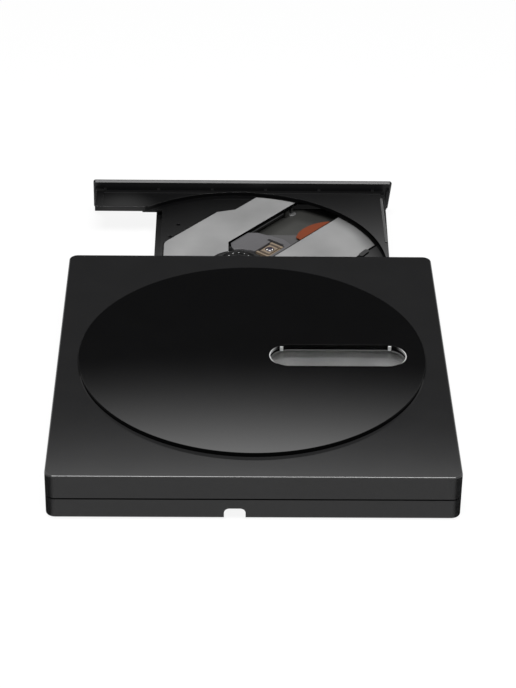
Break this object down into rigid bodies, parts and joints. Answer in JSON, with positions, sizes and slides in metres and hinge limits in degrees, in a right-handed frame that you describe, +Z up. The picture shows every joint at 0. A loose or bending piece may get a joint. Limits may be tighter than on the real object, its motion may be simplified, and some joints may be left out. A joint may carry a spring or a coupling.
{
  "type": "external disc drive",
  "caption": "Slim square external disc drive with a round glossy top plate and a long window, its disc tray half out at the back, showing the spindle hub and the slanted reader slot.",
  "frame": {"origin": "on the plane of the feet, under the middle of the case", "axes": "+Z up, +Y the way the tray slides out, +X to the right seen from the cable side"},
  "size_m": [0.147, 0.2253, 0.0203],
  "materials": {
    "case_plastic": "fine satin",
    "case_lower": "fine satin",
    "plate_gloss": "high gloss",
    "film_clear": "clear",
    "foot_rubber": "matte",
    "screw_steel": "satin",
    "board_green": "satin",
    "chip_black": "matte",
    "connector_black": "satin",
    "module_steel": "satin",
    "lid_steel": "smooth",
    "guide_black": "satin",
    "rail_steel": "smooth",
    "tray_plastic": "fine satin",
    "bezel_plastic": "fine satin",
    "deck_steel": "bright satin",
    "coil_brown": "satin",
    "frame_steel": "satin",
    "damper_rubber": "matte",
    "rod_chrome": "polished",
    "flex_orange": "satin",
    "turntable_black": "satin",
    "claw_grey": "satin",
    "sled_cast": "cast",
    "cover_sheet": "satin",
    "holder_resin": "satin",
    "lens_glass": "clear"
  },
  "bodies": {
    "housing": {"top_cover": "case_plastic", "top_disc": "plate_gloss", "window_film": "film_clear", "bottom_cover": "case_lower", "rubber_feet": "foot_rubber", "case_screws": "screw_steel", "cable_gland": "foot_rubber", "bridge_board": "board_green", "bridge_chips": "chip_black", "sata_plug": "connector_black", "rear_bracket": "module_steel", "bracket_screws": "screw_steel", "drive_pan": "module_steel", "drive_lid": "lid_steel", "lock_post": "screw_steel", "guide_right": "guide_black", "guide_left": "guide_black", "main_board": "board_green", "main_chips": "chip_black", "drive_socket": "connector_black"},
    "rail_right": {"rail_right": "rail_steel"},
    "rail_left": {"rail_left": "rail_steel"},
    "tray": {"tray": "tray_plastic", "tray_bezel": "bezel_plastic", "led_window": "film_clear", "button_board": "board_green", "latch_solenoid": "coil_brown", "eject_spring": "rail_steel", "deck_plate": "deck_steel", "traverse_frame": "frame_steel", "dampers": "damper_rubber", "traverse_screws": "screw_steel", "rod_main": "rod_chrome", "rod_side": "rod_chrome", "sled_motor": "module_steel", "adjuster_post": "rail_steel", "spindle_motor": "coil_brown", "pickup_flex": "flex_orange"},
    "eject_button": {"eject_button": "bezel_plastic"},
    "latch_lever": {"latch_lever": "guide_black"},
    "eject_plunger": {"eject_plunger": "guide_black"},
    "lead_screw": {"lead_screw": "screw_steel"},
    "turntable": {"turntable": "turntable_black", "turntable_ring": "damper_rubber"},
    "hub_claw_1": {"hub_claw_1": "claw_grey"},
    "hub_claw_2": {"hub_claw_2": "claw_grey"},
    "hub_claw_3": {"hub_claw_3": "claw_grey"},
    "sled": {"sled_base": "sled_cast", "sled_cover": "cover_sheet"},
    "lens": {"lens_holder": "holder_resin", "lens": "lens_glass"}
  },
  "joints": [
    {"name": "rail_right_slide", "type": "slide", "parent": "housing", "child": "rail_right", "axis": [0, 1, 0], "range_m": [0, 0.062]},
    {"name": "rail_left_slide", "type": "slide", "parent": "housing", "child": "rail_left", "axis": [0, 1, 0], "range_m": [0, 0.062]},
    {"name": "tray_slide", "type": "slide", "parent": "rail_right", "child": "tray", "axis": [0, 1, 0], "range_m": [-0.069, 0]},
    {"name": "eject_button_press", "type": "slide", "parent": "tray", "child": "eject_button", "axis": [0, -1, 0], "range_m": [0, 0.0008], "stiffness_N_per_m": 60},
    {"name": "latch_swing", "type": "hinge", "parent": "tray", "child": "latch_lever", "pos_m": [-0.031, 0.131, 0.0063], "axis": [0, 0, 1], "range_deg": [-11, 0]},
    {"name": "eject_plunger_slide", "type": "slide", "parent": "tray", "child": "eject_plunger", "axis": [0, 1, 0], "range_m": [0, 0.0024], "stiffness_N_per_m": 100, "deforming": ["eject_spring"]},
    {"name": "turntable_spin", "type": "hinge", "parent": "tray", "child": "turntable", "pos_m": [-0.0047, 0.0813, 0.0119], "axis": [0, 0, 1], "continuous": true},
    {"name": "sled_slide", "type": "slide", "parent": "tray", "child": "sled", "axis": [0.6374, 0.7705, 0], "range_m": [0, 0.038], "deforming": ["pickup_flex"]},
    {"name": "lead_screw_turn", "type": "hinge", "parent": "tray", "child": "lead_screw", "pos_m": [-0.02288, 0.09634, 0.0083], "axis": [0.6374, 0.7705, 0], "range_deg": [-10, 4600]},
    {"name": "lens_focus", "type": "slide", "parent": "sled", "child": "lens", "axis": [0, 0, 1], "range_m": [-0.0003, 0.0003], "stiffness_N_per_m": 30},
    {"name": "hub_claw_1_press", "type": "slide", "parent": "turntable", "child": "hub_claw_1", "axis": [-0.1668, -0.986, 0], "range_m": [0, 0.0005], "stiffness_N_per_m": 50},
    {"name": "hub_claw_2_press", "type": "slide", "parent": "turntable", "child": "hub_claw_2", "axis": [0.9373, 0.3486, 0], "range_m": [0, 0.0005], "stiffness_N_per_m": 50},
    {"name": "hub_claw_3_press", "type": "slide", "parent": "turntable", "child": "hub_claw_3", "axis": [-0.7705, 0.6374, 0], "range_m": [0, 0.0005], "stiffness_N_per_m": 50}
  ],
  "couplings": [
    {"joint": "rail_left_slide", "follows": "rail_right_slide", "ratio": 1},
    {"joint": "lead_screw_turn", "follows": "sled_slide", "rad_per_m": 2094.4}
  ]
}
